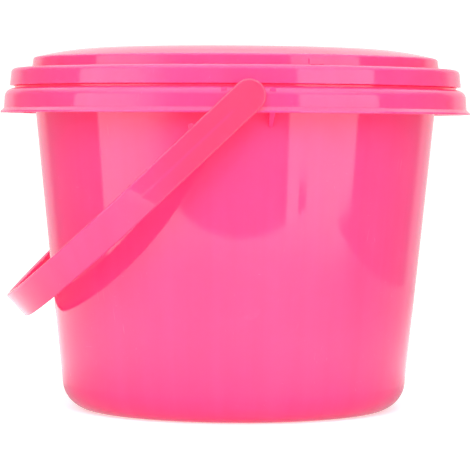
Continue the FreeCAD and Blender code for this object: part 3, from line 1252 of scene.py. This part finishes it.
    def painted_shade_mask(self, wiring: Wiring, spot: object) -> Socket:
        """Painted shade: 1 on the hollow legs, which let light out behind, less on their rib, 0 round the
        grip.

        Args:
            wiring: the material's wiring.
            spot: the place on the piece.

        Returns:
            The mask.
        """
        parts = wiring.axes(spot)
        hollow = wiring.ramp(parts[0], self.solid_grip, self.hollow_leg)
        sine, cosine = math.sin(self.droop), math.cos(self.droop)
        rise = wiring.math("SUBTRACT", parts[2], self.pivot_height)
        across = wiring.math("ABSOLUTE", wiring.plus(parts[0], -sine, wiring.times(rise, cosine)))
        along = wiring.plus(parts[0], -cosine, wiring.times(rise, -sine))
        rib = wiring.ramp(across, self.rib_half_width / 2, 2 * self.rib_half_width, 1, 0)
        rib = wiring.times(rib, wiring.ramp(along, self.rib_end, self.rib_end + SMALL, 1, 0))
        rib = wiring.times(rib, wiring.ramp(along, self.boss_radius, 2 * self.boss_radius))
        return wiring.times(hollow, wiring.plus(rib, -self.rib_shade_cut, 1))

    def tab(self) -> Piece:
        """The small round tab on the upper edge of the front leg.

        Returns:
            The tab, in its place on the level handle.
        """
        corners = [
            Corner(0, 0),
            Corner(self.tab_radius, 0, self.crisp_round),
            Corner(self.tab_radius, self.strap - SMALL, self.crisp_round),
            Corner(0, self.strap - SMALL),
        ]
        tab = place(turned("tab", corners, self.tab_steps), turn=(-QUARTER_TURN, 0, 0))
        outside = self.half_span - SMALL / 2
        return place(tab, move=(-self.tab_along, -outside, self.half_width + self.tab_rise))


# ---------------------------------------------------------------- the studio

@dataclass(frozen=True)
class Band:
    """A stretch of the room that the skin mirrors, in degrees round from the front.

    Args:
        start: where it starts.
        end: where it ends.
        soft_start: width of its first edge.
        soft_end: width of its last edge.
    """

    start: float
    end: float
    soft_start: float
    soft_end: float

    def rise(self, wiring: Wiring, degrees: Socket) -> Socket:
        """0 before the band and 1 after its first edge."""
        return wiring.ramp(degrees, self.start - self.soft_start / 2, self.start + self.soft_start / 2)

    def mask(self, wiring: Wiring, degrees: Socket) -> Socket:
        """1 inside the band and 0 outside it."""
        fall = wiring.ramp(degrees, self.end - self.soft_end / 2, self.end + self.soft_end / 2, 1, 0)
        return wiring.times(self.rise(wiring, degrees), fall)


@dataclass(frozen=True)
class Lamp:
    """A soft square light that the skin doesn't mirror.

    Args:
        name: its name.
        at: where it hangs.
        aim: the point that it faces.
        size: length of its side.
        power: watts.
    """

    name: str
    at: Place
    aim: Place
    size: float
    power: float

    def hang(self) -> None:
        """Adds the light."""
        data = bpy.data.lights.new(self.name, "AREA")
        data.shape = "SQUARE"
        data.size = self.size
        data.energy = self.power
        lamp = bpy.data.objects.new(self.name, data)
        bpy.context.scene.collection.objects.link(lamp)
        lamp.location = self.at
        lamp.rotation_euler = (Vector(self.aim) - Vector(self.at)).to_track_quat("-Z", "Y").to_euler()
        lamp.visible_camera = False
        lamp.visible_glossy = False


@dataclass
class Studio:
    """White table and background, soft lights, and what the glossy skin mirrors of the room.

    The table's spans are metres from the middle of the bucket's foot, and its losses and gains are shares of
    its light. Heights in the room are sines of the angle above the horizon. The camera looks from the front,
    a little from the left and from just above the middle.
    """

    backdrop_light: float = 1.6
    ambient_light: float = 0.7
    floor_light: float = 0.55
    floor_size: float = 40.0
    floor_drop: float = 0.02 * MM
    table_light: float = 1.4
    table_size: Span = (0.943, 1.076)
    table_middle: Span = (-0.0035, 0.062)
    foot_shade: Span = (0.08, 0.24)
    foot_share: float = 0.35
    side_across: Span = (0.1, 0.42)
    side_along: Span = (-0.32, -0.12)
    side_loss: float = 0.42
    corner_away: Span = (0.36, 0.62)
    corner_along: Span = (-0.3, -0.15)
    corner_gain: float = 0.9
    surround_light: float = 0.5
    rear_light: float = 0.57
    right_light: float = 3.0
    left_light: float = 2.8
    ceiling_light: float = 1.8
    front: Band = Band(-144, 133, 12, 12)
    left_window: Band = Band(-88, -46, 3, 34)
    right_window: Band = Band(28, 71, 2, 3)
    lean_height: Span = (-0.208, -0.180)
    lean_end: float = 61
    window_top: Span = (0.22, 0.45)
    window_top_share: float = 0.3
    ceiling: Span = (0.36, 0.7)
    stand: Band = Band(35.3, 40.2, 0.8, 0.8)
    stand_top: float = -0.207
    shelf: Band = Band(40, 48, 2, 5)
    shelf_top: Span = (-0.222, -0.217)
    shelf_shade: float = 0.12
    lamps: tuple[Lamp, ...] = (
        Lamp("overhead", (0.0, -0.3, 1.15), (0, 0, 0.08), 0.8, 3.0),
        Lamp("key", (-0.1, -1.5, 0.75), (0, 0, 0.1), 0.9, 17.5),
    )
    eye: Place = (-0.0749, -1.4140, 0.148)
    aim_across: float = 0.00027
    pitch: float = math.radians(2.24)
    roll: float = math.radians(0.33)
    lens: float = 203
    sensor: float = 36

    def floor(self) -> None:
        """Adds the pale floor."""
        start_fresh()
        bpy.ops.mesh.primitive_plane_add(size=self.floor_size, location=(0, 0, -self.floor_drop))
        floor = bpy.context.object
        floor.name = "floor"
        material, wiring, shader = new_material("Pale floor")
        seen = wiring.times(wiring.add("LightPath").outputs["Is Camera Ray"], self.floor_light)
        for title, source in (("Base Color", (0.93, 0.93, 0.93, 1)), ("Roughness", 0.9),
                              ("Emission Color", (1, 1, 1, 1)), ("Emission Strength", seen)):
            wiring.feed(shader[title], source)
        floor.data.materials.append(material)
        floor.visible_glossy = False

    def table_reflection(self) -> None:
        """Adds the table that the wall mirrors: shaded round the foot and at one side, bright in front."""
        start_fresh()
        bpy.ops.mesh.primitive_plane_add(size=1, location=(*self.table_middle, MM))
        card = bpy.context.object
        card.name = "table_reflection"
        card.scale = (*self.table_size, 1)
        place_in_mesh(card)
        material, wiring, _ = new_material("Table in the skin")
        spot = wiring.add("TexCoord").outputs["Object"]
        distance = wiring.add("VectorMath", spot, operation="LENGTH").outputs["Value"]
        across, along = wiring.axes(spot)[:2]
        light = wiring.ramp(distance, *self.foot_shade, self.foot_share * self.table_light, self.table_light)
        side = wiring.times(wiring.ramp(across, *self.side_across), wiring.ramp(along, *self.side_along))
        light = wiring.times(light, wiring.plus(side, -self.side_loss, 1))
        corner = wiring.ramp(distance, *self.corner_away)
        corner = wiring.times(corner, wiring.ramp(along, *self.corner_along, 1, 0))
        light = wiring.times(light, wiring.plus(corner, self.corner_gain, 1))
        glow = wiring.add("Emission")
        wiring.feed(glow.inputs["Strength"], light)
        wiring.feed(material.node_tree.nodes["Material Output"].inputs["Surface"], glow.outputs[0])
        card.data.materials.append(material)
        for ray in ("camera", "diffuse", "transmission", "volume_scatter", "shadow"):
            setattr(card, "visible_" + ray, False)

    def room(self, wiring: Wiring, degrees: Socket, height: Socket) -> Socket:
        """Builds the light of the room that the skin mirrors.

        Args:
            wiring: the world's wiring.
            degrees: the direction, round from the front.
            height: sine of its angle above the horizon.

        Returns:
            How bright the room is in that direction.
        """
        rear = wiring.math("SUBTRACT", 1, self.front.mask(wiring, degrees))
        # The right window leans, so its far edge is further round the higher it is
        lean = wiring.ramp(height, *self.lean_height, self.lean_end, self.right_window.end)
        soft = self.right_window.soft_end / 2
        panel = wiring.ramp(wiring.math("SUBTRACT", degrees, lean), -soft, soft, 1, 0)
        panel = wiring.times(panel, self.right_window.rise(wiring, degrees))
        below = wiring.ramp(height, self.stand_top - MM, self.stand_top + MM, 1, 0)
        stand = wiring.times(self.stand.mask(wiring, degrees), below)
        shelf = wiring.times(self.shelf.mask(wiring, degrees), wiring.ramp(height, *self.shelf_top, 1, 0))
        hidden = wiring.plus(shelf, self.shelf_shade, stand)
        right = wiring.times(panel, wiring.plus(hidden, -self.right_light, self.right_light))
        left = wiring.times(self.left_window.mask(wiring, degrees), self.left_light)
        fade = wiring.ramp(height, *self.window_top, 1, self.window_top_share)
        windows = wiring.times(wiring.math("ADD", right, left), fade)
        walls = wiring.math("ADD", wiring.plus(rear, self.rear_light, windows), self.surround_light)
        return wiring.plus(wiring.ramp(height, *self.ceiling), self.ceiling_light, walls)

    def background(self) -> None:
        """White behind the object, with the room's dark and bright parts for reflections only."""
        world = bpy.data.worlds.new("Studio")
        bpy.context.scene.world = world
        world.use_nodes = True
        wiring = Wiring(world.node_tree)
        world.node_tree.nodes.clear()
        rays = wiring.add("LightPath").outputs
        parts = wiring.axes(wiring.add("TexCoord").outputs["Object"])
        turn = wiring.math("ARCTAN2", parts[0], wiring.times(parts[1], -1.0))
        degrees = wiring.times(turn, 180 / math.pi)
        strength = wiring.times(rays["Is Glossy Ray"], self.room(wiring, degrees, parts[2]))
        strength = wiring.plus(rays["Is Camera Ray"], self.backdrop_light, strength)
        strength = wiring.plus(rays["Is Diffuse Ray"], self.ambient_light, strength)
        glow = wiring.add("Background")
        wiring.feed(glow.inputs["Strength"], strength)
        wiring.add("OutputWorld", glow.outputs[0])

    def camera(self) -> None:
        """Puts the camera in its place."""
        eye = Vector(self.eye)
        aim = Vector((self.aim_across, 0, eye.z - eye.xy.length * math.tan(self.pitch)))
        data = bpy.data.cameras.new("Camera")
        data.lens = self.lens
        data.sensor_width = self.sensor
        camera = bpy.data.objects.new("Camera", data)
        bpy.context.scene.collection.objects.link(camera)
        roll = Matrix.Rotation(self.roll, 4, "Z")
        look = (aim - eye).to_track_quat("-Z", "Y").to_matrix().to_4x4()
        camera.matrix_world = Matrix.Translation(eye) @ look @ roll
        bpy.context.scene.camera = camera

    def build(self) -> None:
        """Sets up the floor, the lights, the reflections and the camera."""
        bpy.context.scene.view_settings.view_transform = "Standard"
        self.floor()
        self.table_reflection()
        self.background()
        for lamp in self.lamps:
            lamp.hang()
        self.camera()


# ---------------------------------------------------------------- the whole object

def dress(piece: Piece, material: bpy.types.Material, body: str, node: str) -> None:
    """Gives a finished piece its material and its place in the frame.

    Args:
        piece: the finished piece.
        material: its finish.
        body: the CAD body that it rides on.
        node: the CAD node that it stands for.
    """
    piece.data.materials.clear()
    piece.data.materials.append(material)
    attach(piece, body)
    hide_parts(node)
    log.info("%s: %d faces, rides on %s", piece.name, len(piece.data.polygons), body)


def main() -> None:
    """Builds the three mouldings, dresses them and sets up the studio."""
    tub_low, tub_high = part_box("tub")
    lid_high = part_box("lid")[1]
    skin = moulded_skin()
    flow = mould_flow()
    pink = (0.93, 0.066, 0.255, 1)
    deep = (0.92, 0.058, 0.235, 1)
    milky = (0.95, 0.15, 0.33, 1)
    tub = Tub(lip_radius=(tub_high.x - tub_low.x) / 2, rim_top=tub_high.z)
    tub_plastic = MouldedPlastic("Tub plastic", pink, deep, milky)
    dress(tub.build(), tub_plastic.material(skin, flow, tub.marks), "tub_body", "tub")
    lid = Lid(top=lid_high.z)
    lid_plastic = MouldedPlastic("Lid plastic", pink, deep, milky)
    dress(lid.build(), lid_plastic.material(skin, flow), "lid_body", "lid")
    handle = StrapHandle()
    # The darker colour is painted shade on the hollow legs
    handle_plastic = MouldedPlastic("Handle plastic", pink, deep, milky, painted_shade_colour=(0.93, 0.052, 0.145, 1))
    dress(handle.build(), handle_plastic.material(skin, flow, painted_shade_mask=handle.painted_shade_mask), "handle_body",
          "bail_handle")
    Studio().build()


if __name__ == "__main__":
    main()
